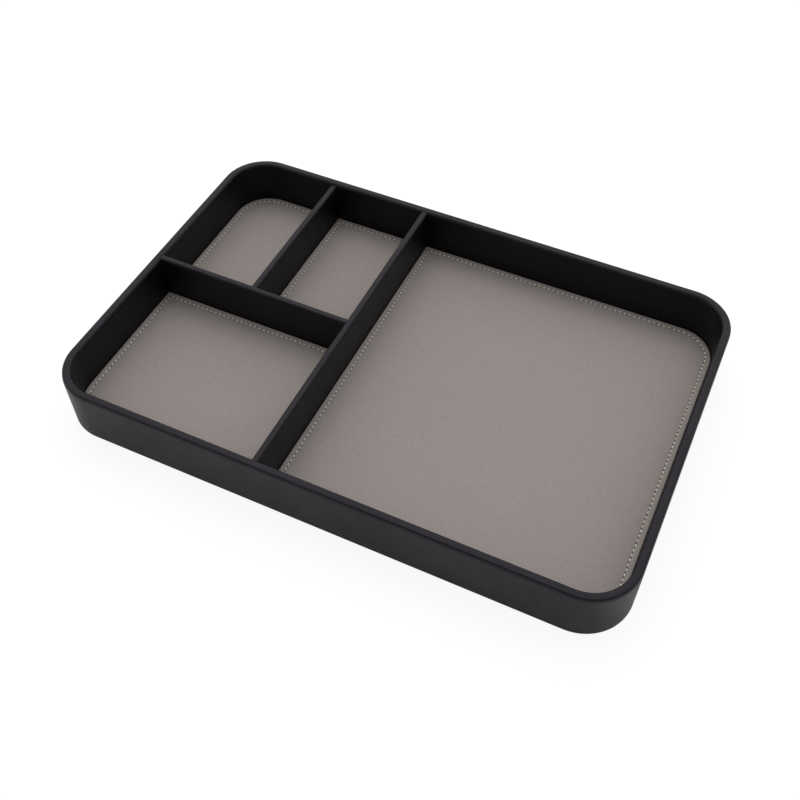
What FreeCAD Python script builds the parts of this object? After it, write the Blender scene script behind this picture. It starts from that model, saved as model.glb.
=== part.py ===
import FreeCAD, Part
import math
import os

import Sketcher

# Valet tray: a board tray covered with black leather, with three fixed dividers and four stitched mats.
# Frame: origin under the middle of the tray, +X to the right along the long side, +Y to the back, +Z up.

doc = FreeCAD.newDocument("valet_tray")

# Driving dimensions, in millimetres
SIZES = (
    ("tray_length", 303.0, "outside length, left to right"),
    ("tray_width", 202.0, "outside width, front to back"),
    ("tray_height", 32.0, "from the table to the rim"),
    ("corner_radius", 25.0, "outside corner, seen from above"),
    ("rim_round", 1.4, "rounding of the rim, inside and outside"),
    ("bottom_round", 1.1, "rounding where the leather turns under the tray"),
    ("leather", 0.85, "thickness of the leather"),
    ("glue_line", 0.05, "glue between the leather and its board"),
    ("wall_board", 3.0, "thickness of the wall boards"),
    ("floor_board", 3.0, "thickness of the base board"),
    ("cover_sheet", 0.5, "thickness of the felt under the tray"),
    ("cover_inset", 2.0, "felt edge to the outside of the tray"),
    ("turn_in", 12.0, "leather turned in under the base board"),
    ("corner_tongue", 3.0, "tongue of a rail in a corner board, length"),
    ("tongue_board", 1.0, "tongue of a rail in a corner board, thickness"),
    ("divider_board", 2.0, "thickness of the divider boards"),
    ("divider_drop", 0.3, "top of the long and the cross divider below the rim"),
    ("short_drop", 1.2, "top of the short divider below the rim"),
    ("divider_round", 1.2, "rounding of the divider tops"),
    ("divider_tongue", 1.0, "divider board let into what it meets"),
    ("tongue_shoulder", 1.5, "top of a divider tongue below the top of its board"),
    ("joint_clearance", 0.1, "play round every tongue and at the sleeve ends"),
    ("large_compartment", 176.0, "large compartment, left to right"),
    ("front_compartment", 95.5, "front left compartment, front to back"),
    ("mat_board", 1.5, "thickness of the cards under the mats"),
    ("mat_clearance", 0.25, "mat edge to the leather round it"),
    ("stitch_inset", 2.8, "mat edge to the middle of the stitching"),
    ("stitch_pitch", 2.85, "one stitch to the next"),
    ("stitch_hole", 0.8, "length of the dip between two stitches"),
    ("thread_width", 0.6, "width of the sewing thread"),
    ("thread_height", 0.3, "height of the sewing thread"),
    ("thread_web", 0.1, "thread left in the dips"),
    ("groove_width", 0.8, "groove that the stitching pulls into the mat"),
    ("groove_depth", 0.25, "depth of that groove"),
)

# Largest rounding of an edge, as a share of the thickness that it rounds
ROUND_LIMIT = 0.45

# Ways that a piece's own X axis can point, seen from above
TO_RIGHT = FreeCAD.Vector(1, 0, 0)
TO_BACK = FreeCAD.Vector(0, 1, 0)
TO_LEFT = FreeCAD.Vector(-1, 0, 0)
TO_FRONT = FreeCAD.Vector(0, -1, 0)

# Sizes and places that follow from them
PLACES = (
    ("skin", "Sizes.leather + Sizes.glue_line"),
    ("cut_over", "Sizes.leather"),
    ("wall", "Sizes.wall_board + 2 * Places.skin"),
    ("divider", "Sizes.divider_board + 2 * Places.skin"),
    ("outer_x", "Sizes.tray_length / 2"),
    ("outer_y", "Sizes.tray_width / 2"),
    ("core_x", "Places.outer_x - Places.skin"),
    ("core_y", "Places.outer_y - Places.skin"),
    ("inner_x", "Places.outer_x - Places.wall"),
    ("inner_y", "Places.outer_y - Places.wall"),
    ("arc_x", "Places.outer_x - Sizes.corner_radius"),
    ("arc_y", "Places.outer_y - Sizes.corner_radius"),
    ("core_radius", "Sizes.corner_radius - Places.skin"),
    ("core_inner_radius", "Places.core_radius - Sizes.wall_board"),
    ("inner_radius", "Sizes.corner_radius - Places.wall"),
    ("board_bottom", "Sizes.cover_sheet + Places.skin"),
    ("board_top", "Places.board_bottom + Sizes.floor_board"),
    ("core_top", "Sizes.tray_height - Places.skin"),
    ("rim_radius", f"min(Sizes.rim_round; {ROUND_LIMIT} * Places.wall)"),
    ("core_round", "max(Places.rim_radius - Places.skin; Sizes.glue_line)"),
    ("rail_tongue_top", "Places.core_top - 2 * Places.core_round"),
    ("divider_top", "Sizes.tray_height - Sizes.divider_drop"),
    ("short_top", "Sizes.tray_height - Sizes.short_drop"),
    ("tongue_top", "min(Places.divider_top; Places.short_top) - Places.skin - Sizes.tongue_shoulder"),
    ("divider_radius", f"min(Sizes.divider_round; {ROUND_LIMIT} * Places.divider)"),
    ("let_in", "Places.skin + Sizes.divider_tongue"),
    ("slot_half", "Sizes.divider_board / 2 + Sizes.joint_clearance"),
    ("slot_depth", "Sizes.divider_tongue + Sizes.joint_clearance"),
    ("slot_height", "Places.tongue_top - Places.board_top + Sizes.joint_clearance"),
    ("long_x", "Places.inner_x - Sizes.large_compartment - Places.divider / 2"),
    ("cross_y", "Sizes.front_compartment - Places.inner_y + Places.divider / 2"),
    ("short_x", "(Places.long_x - Places.divider / 2 - Places.inner_x) / 2"),
    ("long_span", "2 * Places.inner_y"),
    ("cross_span", "Places.long_x - Places.divider / 2 + Places.inner_x"),
    ("cross_x", "(Places.long_x - Places.divider / 2 - Places.inner_x) / 2"),
    ("short_span", "Places.inner_y - Places.cross_y - Places.divider / 2"),
    ("short_y", "Places.inner_y - Places.short_span / 2"),
    ("mat_bottom", "Places.board_top + Sizes.mat_board"),
    ("mat_top", "Places.mat_bottom + Sizes.leather"),
    ("thread_bottom", "Places.mat_top - Sizes.groove_depth"),
)


def fill_sheet(name, rows, prefix=""):
    """Make a spreadsheet with one aliased cell for each row."""
    sheet = doc.addObject("Spreadsheet::Sheet", name)
    for index, row in enumerate(rows, start=1):
        cell = f"A{index}"
        sheet.setAlias(cell, row[0])
        sheet.set(cell, prefix + str(row[1]))
        sheet.set(f"B{index}", row[-1] if len(row) > 2 else row[0])
    doc.recompute()
    return sheet


sizes = fill_sheet("Sizes", SIZES)
places = fill_sheet("Places", PLACES, prefix="=")


def value(expression):
    """The number that an expression stands for now."""
    return float(places.evalExpression(expression))


def new_body(label, x="0", y="0", z="0", way=TO_RIGHT):
    """A sub-part with its place bound to the sheets, turned about Z so that its own X points the given way."""
    body = doc.addObject("PartDesign::Body", label)
    body.Label = label
    up = FreeCAD.Vector(0, 0, 1)
    turn = FreeCAD.Rotation(up, math.degrees(math.atan2(way.y, way.x)))
    body.Placement = FreeCAD.Placement(FreeCAD.Vector(), turn)
    for axis, expression in (("x", x), ("y", y), ("z", z)):
        body.setExpression(f"Placement.Base.{axis}", expression)
    return body


def origin_part(body, role):
    """One of the body's own origin planes or axes."""
    return next(part for part in body.Origin.OriginFeatures if part.Role == role)


def new_sketch(body, name, offset="0", plane="XY_Plane"):
    """A sketch on an origin plane of the body, moved along the plane's normal."""
    sketch = body.newObject("Sketcher::SketchObject", name)
    sketch.AttachmentSupport = [(origin_part(body, plane), "")]
    sketch.MapMode = "FlatFace"
    sketch.setExpression("AttachmentOffset.Base.z", offset)
    return sketch


def bind(sketch, constraint, expression):
    """Add a constraint whose value is an expression."""
    index = sketch.addConstraint(constraint)
    sketch.setExpression(f"Constraints[{index}]", expression)


def draw_outline(sketch, lines, rounds=None):
    """Draw a closed outline whose lines are level and upright in turn, the first one level.

    lines holds where each line lies, as an expression, and rounds the radius of each rounded corner:
    corner 0 joins the first line to the second one.
    """
    rounds = rounds or {}
    count = len(lines)
    spots = [value(line) for line in lines]
    corners = []
    for index in range(count):
        pair = (spots[(index + 1) % count], spots[index])
        x, y = pair if index % 2 == 0 else reversed(pair)
        corners.append(FreeCAD.Vector(x, y, 0))
    along = [(corners[i] - corners[i - 1]).normalize() for i in range(count)]
    radii = [value(rounds[i]) if i in rounds else 0.0 for i in range(count)]

    drawn = []
    for i in range(count):
        start = corners[i - 1] + along[i] * radii[i - 1]
        end = corners[i] - along[i] * radii[i]
        drawn.append(sketch.addGeometry(Part.LineSegment(start, end), False))
    for i, line in enumerate(drawn):
        level = i % 2 == 0
        sketch.addConstraint(Sketcher.Constraint("Horizontal" if level else "Vertical", line))
        kind = "DistanceY" if level else "DistanceX"
        bind(sketch, Sketcher.Constraint(kind, -1, 1, line, 1, spots[i]), lines[i])
    for i, line in enumerate(drawn):
        after = (i + 1) % count
        if i not in rounds:
            sketch.addConstraint(Sketcher.Constraint("Coincident", line, 2, drawn[after], 1))
            continue
        centre = corners[i] - along[i] * radii[i] + along[after] * radii[i]
        left_turn = along[i].cross(along[after]).z > 0
        first = -along[after] if left_turn else along[i]
        begin = math.atan2(first.y, first.x)
        circle = Part.Circle(centre, FreeCAD.Vector(0, 0, 1), radii[i])
        arc = sketch.addGeometry(Part.ArcOfCircle(circle, begin, begin + math.pi / 2), False)
        ends = (1, 2) if left_turn else (2, 1)
        sketch.addConstraint(Sketcher.Constraint("Tangent", line, 2, arc, ends[0]))
        sketch.addConstraint(Sketcher.Constraint("Tangent", drawn[after], 1, arc, ends[1]))
        bind(sketch, Sketcher.Constraint("Radius", arc, radii[i]), rounds[i])


def pad(body, sketch, length, both_ways=False):
    """Raise a sketch by a length, or by half of it to each side."""
    feature = body.newObject("PartDesign::Pad", sketch.Name + "_pad")
    feature.Profile = sketch
    feature.setExpression("Length", length)
    if both_ways:
        feature.SideType = "Symmetric"
    doc.recompute()
    return feature


def pocket_up(body, sketch, depth):
    """Cut a sketch upwards out of the body, and make sure that it took something away."""
    doc.recompute()
    before = body.Shape.Volume
    feature = body.newObject("PartDesign::Pocket", sketch.Name + "_pocket")
    feature.Profile = sketch
    feature.Reversed = True
    feature.setExpression("Length", depth)
    doc.recompute()
    if body.Shape.Volume >= before:
        raise RuntimeError(f"{body.Label}: {sketch.Name} cuts nothing")
    return feature


def plan(front, right, back, left, margin="0"):
    """The four lines of a rectangle seen from above, drawn in by a margin."""
    return (f"{front} + ({margin})", f"{right} - ({margin})",
            f"{back} - ({margin})", f"{left} + ({margin})")


def full_plan(margin):
    """The tray's outside seen from above, drawn in by a margin, and its four round corners."""
    lines = plan("-Places.outer_y", "Places.outer_x", "Places.outer_y", "-Places.outer_x", margin)
    return lines, {corner: f"Sizes.corner_radius - ({margin})" for corner in range(4)}


def make_sheet(label, bottom, thickness, lines, rounds):
    """A flat piece of an even thickness."""
    body = new_body(label, z=bottom)
    sketch = new_sketch(body, label + "_plan")
    draw_outline(sketch, lines, rounds)
    pad(body, sketch, thickness)
    return body


def make_band(label, profile, rounds):
    """A leather band swept round the tray, from its section across the front wall."""
    body = new_body(label)
    path = new_sketch(body, label + "_path")
    draw_outline(path, *full_plan("0"))
    section = new_sketch(body, label + "_section", offset="-Places.arc_x", plane="YZ_Plane")
    draw_outline(section, profile, rounds)
    sweep = body.newObject("PartDesign::AdditivePipe", label + "_sweep")
    sweep.Profile = section
    sweep.Spine = path
    doc.recompute()
    return body


def cut_slots(body, slots):
    """Cut the slots that take the tongues of the dividers, upwards from the base board."""
    sketch = new_sketch(body, body.Label + "_slots", offset="Places.board_top")
    for lines in slots:
        draw_outline(sketch, lines)
    pocket_up(body, sketch, "Places.slot_height")


def slot_at(place, near, far):
    """A slot across a local X position, from one local Y to another."""
    return (near, f"{place} + Places.slot_half", far, f"{place} - Places.slot_half")


# Underside: felt, levelling card and base board
make_sheet("bottom_cover", "0", "Sizes.cover_sheet", *full_plan("Sizes.cover_inset"))
make_sheet("underside_filler_card", "Sizes.cover_sheet", "Places.skin",
           *full_plan("Sizes.turn_in + Sizes.mat_clearance"))
make_sheet("base_board", "Places.board_bottom", "Sizes.floor_board", *full_plan("Places.skin"))


# Wall boards: four straight rails and four bent corners, joined by tongues
def make_rail(label, x, y, way, length, grooves):
    """A straight wall board along its own X, its outer face at Y 0, with a tongue at each end."""
    body = new_body(label, x, y, way=way)
    section = new_sketch(body, label + "_section", plane="YZ_Plane")
    rounds = {0: "Places.core_round", 3: "Places.core_round"}
    draw_outline(section, ("Places.core_top", "Sizes.wall_board", "Places.board_top", "0"), rounds)
    pad(body, section, length, both_ways=True)
    tongue = new_sketch(body, label + "_tongue", plane="YZ_Plane")
    middle = "Sizes.wall_board / 2"
    sides = (f"{middle} + Sizes.tongue_board / 2", f"{middle} - Sizes.tongue_board / 2")
    draw_outline(tongue, ("Places.rail_tongue_top", sides[0], "Places.board_top", sides[1]))
    pad(body, tongue, f"{length} + 2 * Sizes.corner_tongue", both_ways=True)
    if grooves:
        near = "Sizes.wall_board - Places.slot_depth"
        far = "Sizes.wall_board + Places.cut_over"
        cut_slots(body, [slot_at(place, near, far) for place in grooves])


RAILS = (
    ("front_rail", "0", "-Places.core_y", TO_RIGHT, "2 * Places.arc_x", ["Places.long_x"]),
    ("right_rail", "Places.core_x", "0", TO_BACK, "2 * Places.arc_y", []),
    ("back_rail", "0", "Places.core_y", TO_LEFT, "2 * Places.arc_x",
     ["-Places.long_x", "-Places.short_x"]),
    ("left_rail", "-Places.core_x", "0", TO_FRONT, "2 * Places.arc_y", ["-Places.cross_y"]),
)
for rail in RAILS:
    make_rail(*rail)


def make_corner(label, x, y, way):
    """A bent wall board: a quarter turn about its own Z, with a slot for a tongue in each end."""
    body = new_body(label, x, y, way=way)
    section = new_sketch(body, label + "_section", plane="XZ_Plane")
    rounds = {0: "Places.core_round", 3: "Places.core_round"}
    lines = ("Places.core_top", "Places.core_radius", "Places.board_top", "Places.core_inner_radius")
    draw_outline(section, lines, rounds)
    bend = body.newObject("PartDesign::Revolution", label + "_bend")
    bend.Profile = section
    bend.ReferenceAxis = (origin_part(body, "Z_Axis"), [""])
    bend.Angle = 90.0
    slots = new_sketch(body, label + "_slots", offset="Places.board_top")
    middle = "Places.core_radius - Sizes.wall_board / 2"
    half = "(Sizes.tongue_board / 2 + Sizes.joint_clearance)"
    deep = "Sizes.corner_tongue + Sizes.joint_clearance"
    draw_outline(slots, ("-Places.cut_over", f"{middle} + {half}", deep, f"{middle} - {half}"))
    draw_outline(slots, (f"{middle} - {half}", deep, f"{middle} + {half}", "-Places.cut_over"))
    height = "Places.rail_tongue_top - Places.board_top + Sizes.joint_clearance"
    pocket_up(body, slots, height)


CORNERS = (
    ("corner_back_right", "Places.arc_x", "Places.arc_y", TO_RIGHT),
    ("corner_back_left", "-Places.arc_x", "Places.arc_y", TO_BACK),
    ("corner_front_left", "-Places.arc_x", "-Places.arc_y", TO_LEFT),
    ("corner_front_right", "Places.arc_x", "-Places.arc_y", TO_FRONT),
)
for corner in CORNERS:
    make_corner(*corner)

# Leather of the walls, one piece from under the base board up the outside, over the rim and down inside
wall_wrap = make_band(
    "wall_wrap",
    (
        "Sizes.cover_sheet",
        "-Places.outer_y + Sizes.turn_in",
        "Sizes.cover_sheet + Sizes.leather",
        "-Places.outer_y + Sizes.leather",
        "Sizes.tray_height - Sizes.leather",
        "-Places.inner_y - Sizes.leather",
        "Places.board_top",
        "-Places.inner_y",
        "Sizes.tray_height",
        "-Places.outer_y",
    ),
    {
        3: "Places.core_round + Sizes.glue_line",
        4: "Places.core_round + Sizes.glue_line",
        7: "Places.rim_radius",
        8: "Places.rim_radius",
        9: "Sizes.bottom_round",
    },
)
inside_y = "Places.inner_y - Places.cut_over"
behind_y = "Places.inner_y + Places.skin"
inside_x = "Places.inner_x - Places.cut_over"
behind_x = "Places.inner_x + Places.skin"
cut_slots(wall_wrap, [
    slot_at("Places.long_x", f"-({behind_y})", f"-({inside_y})"),
    slot_at("Places.long_x", inside_y, behind_y),
    slot_at("Places.short_x", inside_y, behind_y),
    ("Places.cross_y - Places.slot_half", f"-({inside_x})",
     "Places.cross_y + Places.slot_half", f"-({behind_x})"),
])


# Dividers: a board with a tongue at both ends, and a leather sleeve over it
def make_divider(name, x, y, way, span, top, slots):
    """A divider along its own X between two leather faces, with slots in its Y side for another one."""
    core = new_body(name + "_divider_core", x, y, way=way)
    length = f"{span} - 2 * Sizes.joint_clearance"
    half_board = "Sizes.divider_board / 2"
    section = new_sketch(core, name + "_core_section", plane="YZ_Plane")
    draw_outline(section, (f"{top} - Places.skin", half_board, "Places.board_top", f"-{half_board}"))
    pad(core, section, length, both_ways=True)
    tongue = new_sketch(core, name + "_tongue_section", plane="YZ_Plane")
    draw_outline(tongue, ("Places.tongue_top", half_board, "Places.board_top", f"-{half_board}"))
    pad(core, tongue, f"{span} + 2 * Places.let_in", both_ways=True)

    wrap = new_body(name + "_divider_wrap", x, y, way=way)
    section = new_sketch(wrap, name + "_wrap_section", plane="YZ_Plane")
    half_inside = f"({half_board} + Sizes.glue_line)"
    lines = (
        top,
        "Places.divider / 2",
        "Places.board_top",
        half_inside,
        f"{top} - Sizes.leather",
        f"-{half_inside}",
        "Places.board_top",
        "-Places.divider / 2",
    )
    draw_outline(section, lines, {0: "Places.divider_radius", 7: "Places.divider_radius"})
    pad(wrap, section, length, both_ways=True)

    if slots:
        past = f"{half_board} + Places.cut_over"
        cut_slots(core, [slot_at(place, f"{half_board} - Places.slot_depth", past) for place in slots])
        past = "Places.divider / 2 + Places.cut_over"
        cut_slots(wrap, [slot_at(place, half_board, past) for place in slots])


DIVIDERS = (
    ("long", "Places.long_x", "0", TO_BACK, "Places.long_span", "Places.divider_top", ["Places.cross_y"]),
    ("cross", "Places.cross_x", "Places.cross_y", TO_RIGHT, "Places.cross_span", "Places.divider_top",
     ["(Places.short_x - Places.cross_x)"]),
    ("short", "Places.short_x", "Places.short_y", TO_BACK, "Places.short_span", "Places.short_top", []),
)
for divider in DIVIDERS:
    make_divider(*divider)

# Mats: a card, a leather sheet with a stitched groove, and the thread in the groove
LONG_LEFT = "Places.long_x - Places.divider / 2"
LONG_RIGHT = "Places.long_x + Places.divider / 2"
CROSS_FRONT = "Places.cross_y - Places.divider / 2"
CROSS_BACK = "Places.cross_y + Places.divider / 2"
SHORT_LEFT = "Places.short_x - Places.divider / 2"
SHORT_RIGHT = "Places.short_x + Places.divider / 2"

# Corners of a rectangle seen from above, in the order in which an outline is drawn
FRONT_RIGHT, BACK_RIGHT, BACK_LEFT, FRONT_LEFT = range(4)

# Front, right, back and left side of each compartment, then the corners that follow the tray's round ones
COMPARTMENTS = (
    ("front_left", "-Places.inner_y", LONG_LEFT, CROSS_FRONT, "-Places.inner_x", (FRONT_LEFT,)),
    ("back_left", CROSS_BACK, SHORT_LEFT, "Places.inner_y", "-Places.inner_x", (BACK_LEFT,)),
    ("back_middle", CROSS_BACK, LONG_LEFT, "Places.inner_y", SHORT_RIGHT, ()),
    ("large", "-Places.inner_y", "Places.inner_x", "Places.inner_y", LONG_RIGHT, (FRONT_RIGHT, BACK_RIGHT)),
)


def mat_outline(sides, corners, margin):
    """The lines and round corners of a compartment's floor, drawn in by a margin."""
    rounds = {corner: f"Places.inner_radius - ({margin})" for corner in corners}
    return plan(*sides, margin=margin), rounds


def plan_wire(lines, rounds):
    """The same outline as a wire of lines and arcs, on Z 0."""
    front, right, back, left = (value(line) for line in lines)
    points = [(right, front), (right, back), (left, back), (left, front)]
    ways = [(1, 0), (0, 1), (-1, 0), (0, -1)]
    edges = []
    for i in range(4):
        way = FreeCAD.Vector(*ways[i], 0)
        after = FreeCAD.Vector(*ways[(i + 1) % 4], 0)
        radius = value(rounds[i]) if i in rounds else 0.0
        radius_before = value(rounds[(i - 1) % 4]) if (i - 1) % 4 in rounds else 0.0
        start = FreeCAD.Vector(*points[i - 1], 0) + way * radius_before
        corner = FreeCAD.Vector(*points[i], 0)
        end = corner - way * radius
        edges.append(Part.LineSegment(start, end).toShape())
        if radius:
            middle = corner + (after - way) * radius * (1 - math.sqrt(0.5))
            edges.append(Part.Arc(end, middle, corner + after * radius).toShape())
    return Part.Wire(edges)


def make_thread(label, sides, corners):
    """One thread round a mat, in the groove, with a dip at each needle hole and a hole at each corner."""
    inset = "Sizes.mat_clearance + Sizes.stitch_inset"
    rings = []
    for side in ("-", "+"):
        wire = plan_wire(*mat_outline(sides, corners, f"{inset} {side} Sizes.thread_width / 2"))
        rings.append(Part.Face(wire).extrude(FreeCAD.Vector(0, 0, sizes.thread_height)))
    ring = rings[0].cut(rings[1])
    across = sizes.thread_width + 2 * sizes.groove_width
    dips = []
    for edge in plan_wire(*mat_outline(sides, corners, inset)).OrderedEdges:
        count = max(1, round(edge.Length / sizes.stitch_pitch))
        for step in range(count):
            place = edge.getParameterByLength(edge.Length * step / count)
            way = edge.tangentAt(place)
            dip = Part.makeBox(sizes.stitch_hole, across, sizes.thread_height)
            dip.translate(FreeCAD.Vector(-sizes.stitch_hole / 2, -across / 2, sizes.thread_web))
            turn = FreeCAD.Rotation(FreeCAD.Vector(1, 0, 0), way)
            dip.Placement = FreeCAD.Placement(edge.valueAt(place), turn) * dip.Placement
            dips.append(dip)
    thread = doc.addObject("Part::Feature", label)
    thread.Label = label
    thread.Shape = ring.cut(dips)
    thread.setExpression("Placement.Base.z", "Places.thread_bottom")


def make_mat(name, front, right, back, left, corners):
    """The card, leather and thread of one compartment's floor."""
    sides = (front, right, back, left)
    outline = mat_outline(sides, corners, "Sizes.mat_clearance")
    make_sheet("mat_card_" + name, "Places.board_top", "Sizes.mat_board", *outline)
    leather = make_sheet("mat_leather_" + name, "Places.mat_bottom", "Sizes.leather", *outline)
    groove = new_sketch(leather, name + "_groove", offset="Sizes.leather - Sizes.groove_depth")
    inset = "Sizes.mat_clearance + Sizes.stitch_inset"
    for side in ("-", "+"):
        draw_outline(groove, *mat_outline(sides, corners, f"{inset} {side} Sizes.groove_width / 2"))
    pocket_up(leather, groove, "Sizes.groove_depth + Places.cut_over")
    make_thread("mat_thread_" + name, sides, corners)


for compartment in COMPARTMENTS:
    make_mat(*compartment)

doc.recompute()
faults = [o.Label for o in doc.Objects if "Invalid" in o.State or "Error" in o.State]
subparts = [o for o in doc.Objects if o.TypeId in ("PartDesign::Body", "Part::Feature")]
faults += [o.Label for o in subparts if o.Shape.isNull() or not o.Shape.isValid() or not o.Shape.Solids]
if faults:
    raise RuntimeError(f"failed objects: {faults}")

os.makedirs("parts", exist_ok=True)
for subpart in subparts:
    subpart.Shape.exportStep(f"parts/{subpart.Label}.step")
    print(f"{subpart.Label}: {len(subpart.Shape.Solids)} solid, {subpart.Shape.Volume:.1f} mm3")
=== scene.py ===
"""Valet tray, dressed: leather walls and dividers, stitched mats and a felt underside on packed boards."""

import logging
import math
from dataclasses import dataclass
from enum import Enum
from typing import Any, Callable, Iterator

import bmesh
import bpy
from mathutils import Matrix, Vector


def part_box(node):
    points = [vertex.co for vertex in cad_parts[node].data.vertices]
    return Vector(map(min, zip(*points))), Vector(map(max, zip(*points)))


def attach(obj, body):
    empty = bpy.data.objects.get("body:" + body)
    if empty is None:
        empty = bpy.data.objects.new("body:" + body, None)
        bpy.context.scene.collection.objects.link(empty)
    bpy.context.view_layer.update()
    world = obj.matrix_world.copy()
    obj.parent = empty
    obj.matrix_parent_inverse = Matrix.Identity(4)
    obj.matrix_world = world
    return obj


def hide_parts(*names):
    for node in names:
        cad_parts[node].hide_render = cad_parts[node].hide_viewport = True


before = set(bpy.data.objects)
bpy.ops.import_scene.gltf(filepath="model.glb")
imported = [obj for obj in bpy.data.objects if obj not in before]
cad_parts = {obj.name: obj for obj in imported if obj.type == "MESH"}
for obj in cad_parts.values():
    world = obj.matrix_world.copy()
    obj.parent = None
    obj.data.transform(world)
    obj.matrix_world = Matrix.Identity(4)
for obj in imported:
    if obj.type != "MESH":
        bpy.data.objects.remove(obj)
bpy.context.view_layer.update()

log = logging.getLogger("valet_tray")

MM = 0.001
# The body that every piece rides on, in a part with no joints.
BODY = "root"
# Thickness of the leather.
LEATHER = 0.85 * MM
# Attribute that tells how deep a point of a mat lies below its top, in the groove of its seam or down its
# cut edge; the leather goes darker by it, partly as painted shade.
SEAM_SHADE_ATTRIBUTE = "seam_shade_depth"
# Distance below which two points are one, and cosine above which two directions are.
SAME_PLACE = 0.001 * MM
SAME_WAY = 0.9
# Between these, noise takes nearly all its values.
NOISE_RANGE = (0.3, 0.7)


class Element(Enum):
    """What an operator picks on a mesh."""

    CORNER = "VERT"
    EDGE = "EDGE"
    FACE = "FACE"


class Corner(Enum):
    """A corner of a level rectangle, as the signs of its X and Y sides.

    They stand in the order in which a needle goes round.
    """

    FRONT_RIGHT = (1, -1)
    BACK_RIGHT = (1, 1)
    BACK_LEFT = (-1, 1)
    FRONT_LEFT = (-1, -1)


class Workpiece:
    """One piece on the bench, shaped with Blender's modelling operators.

    Attributes:
        obj: the Blender object that is being shaped.
    """

    def __init__(self, obj: bpy.types.Object, name: str) -> None:
        """Take an object onto the bench under a name."""
        self.obj = obj
        obj.name = obj.data.name = name

    @classmethod
    def from_plane(cls, name: str, low: Vector, high: Vector) -> "Workpiece":
        """Start from a level rectangle.

        Args:
            name: name of the piece.
            low: front left corner, whose height is the rectangle's.
            high: back right corner.

        Returns:
            The new workpiece, with its place in its mesh.
        """
        clear_bench()
        middle = (low + high) / 2
        bpy.ops.mesh.primitive_plane_add(size=1.0, location=(middle.x, middle.y, low.z))
        return cls._at_size(name, Vector((high.x - low.x, high.y - low.y, 1.0)))

    @classmethod
    def from_disc(cls, name: str, radius: float, height: float, sides: int) -> "Workpiece":
        """Start from a level disc about the Z axis.

        Args:
            name: name of the piece.
            radius: its radius.
            height: its level.
            sides: corners of its outline.

        Returns:
            The new workpiece, with its place in its mesh.
        """
        clear_bench()
        bpy.ops.mesh.primitive_circle_add(
            vertices=sides, radius=radius, fill_type="NGON", location=(0.0, 0.0, height)
        )
        return cls._at_size(name, Vector((1.0, 1.0, 1.0)))

    @classmethod
    def from_block(cls, name: str, low: Vector, high: Vector) -> "Workpiece":
        """Start from a block between two opposite corners.

        Args:
            name: name of the piece.
            low: lowest corner.
            high: highest corner.

        Returns:
            The new workpiece, with its place in its mesh.
        """
        clear_bench()
        bpy.ops.mesh.primitive_cube_add(size=1.0, location=(low + high) / 2)
        return cls._at_size(name, high - low)

    @classmethod
    def from_ball(cls, name: str, size: Vector, segments: int, rings: int) -> "Workpiece":
        """Start from a ball about the origin, drawn out to a length, width and height.

        Args:
            name: name of the piece.
            size: length, width and height.
            segments: faces round it.
            rings: faces from pole to pole.

        Returns:
            The new workpiece, with its poles along X.
        """
        clear_bench()
        bpy.ops.mesh.primitive_uv_sphere_add(
            segments=segments, ring_count=rings, radius=0.5, rotation=(0.0, math.pi / 2, 0.0)
        )
        bpy.ops.object.transform_apply(location=True, rotation=True, scale=True)
        return cls._at_size(name, size)

    @classmethod
    def _at_size(cls, name: str, size: Vector) -> "Workpiece":
        """Draw the new primitive out and put its place into its mesh.

        Args:
            name: name of the piece.
            size: how many times as long it gets along X, Y and Z.

        Returns:
            The new workpiece.
        """
        obj = bpy.context.active_object
        obj.scale = size
        bpy.ops.object.transform_apply(location=True, rotation=True, scale=True)
        return cls(obj, name)

    def open(self) -> None:
        """Go into edit mode on this piece alone."""
        if bpy.context.mode != "EDIT_MESH":
            bpy.ops.object.select_all(action="DESELECT")
            self.obj.select_set(True)
            bpy.context.view_layer.objects.active = self.obj
            bpy.ops.object.mode_set(mode="EDIT")

    def close(self) -> None:
        """Go back to object mode, with this piece selected and active."""
        if bpy.context.mode == "EDIT_MESH":
            bpy.ops.object.mode_set(mode="OBJECT")
        bpy.ops.object.select_all(action="DESELECT")
        self.obj.select_set(True)
        bpy.context.view_layer.objects.active = self.obj

    def pick(self, kind: Element, test: Callable[[Vector, Vector], bool]) -> None:
        """Select the elements that pass a test, and nothing else.

        Args:
            kind: what to select.
            test: gets an element's middle, and its normal or an edge's direction.
        """
        self.open()
        bpy.ops.mesh.select_mode(type=kind.value)
        bpy.ops.mesh.select_all(action="DESELECT")
        mesh = bmesh.from_edit_mesh(self.obj.data)
        mesh.normal_update()
        if kind is Element.CORNER:
            found = [v for v in mesh.verts if test(v.co, v.normal)]
        elif kind is Element.EDGE:
            found = [
                e for e in mesh.edges
                if test((e.verts[0].co + e.verts[1].co) / 2, (e.verts[1].co - e.verts[0].co).normalized())
            ]
        else:
            found = [f for f in mesh.faces if test(f.calc_center_median(), f.normal)]
        for element in found:
            element.select_set(True)
        mesh.select_flush_mode()
        bmesh.update_edit_mesh(self.obj.data)

    def levels(self) -> list[float]:
        """The heights at which the piece has corners."""
        self.open()
        return sorted({round(v.co.z, 7) for v in bmesh.from_edit_mesh(self.obj.data).verts})

    def round_corners(self, radius: float, segments: int) -> None:
        """Round the picked corners of an outline."""
        bpy.ops.mesh.bevel(affect="VERTICES", offset=radius, segments=segments, profile=0.5)

    def round_edges(self, radius: float, segments: int) -> None:
        """Round the picked edges."""
        bpy.ops.mesh.bevel(affect="EDGES", offset=radius, segments=segments, profile=0.5)

    def draw_up(self, height: float) -> None:
        """Draw the picked face up out of the piece, or down for a height below zero."""
        bpy.ops.mesh.extrude_region_move(TRANSFORM_OT_translate={"value": (0.0, 0.0, height)})

    def step_in(self, inwards: float, outwards: float) -> None:
        """Inset the picked face and move it along its normal."""
        bpy.ops.mesh.inset(thickness=inwards, depth=outwards, use_even_offset=True)

    def remove_picked(self) -> None:
        """Delete the picked faces and leave their edges to the faces beside them."""
        bpy.ops.mesh.delete(type="FACE")

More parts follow.
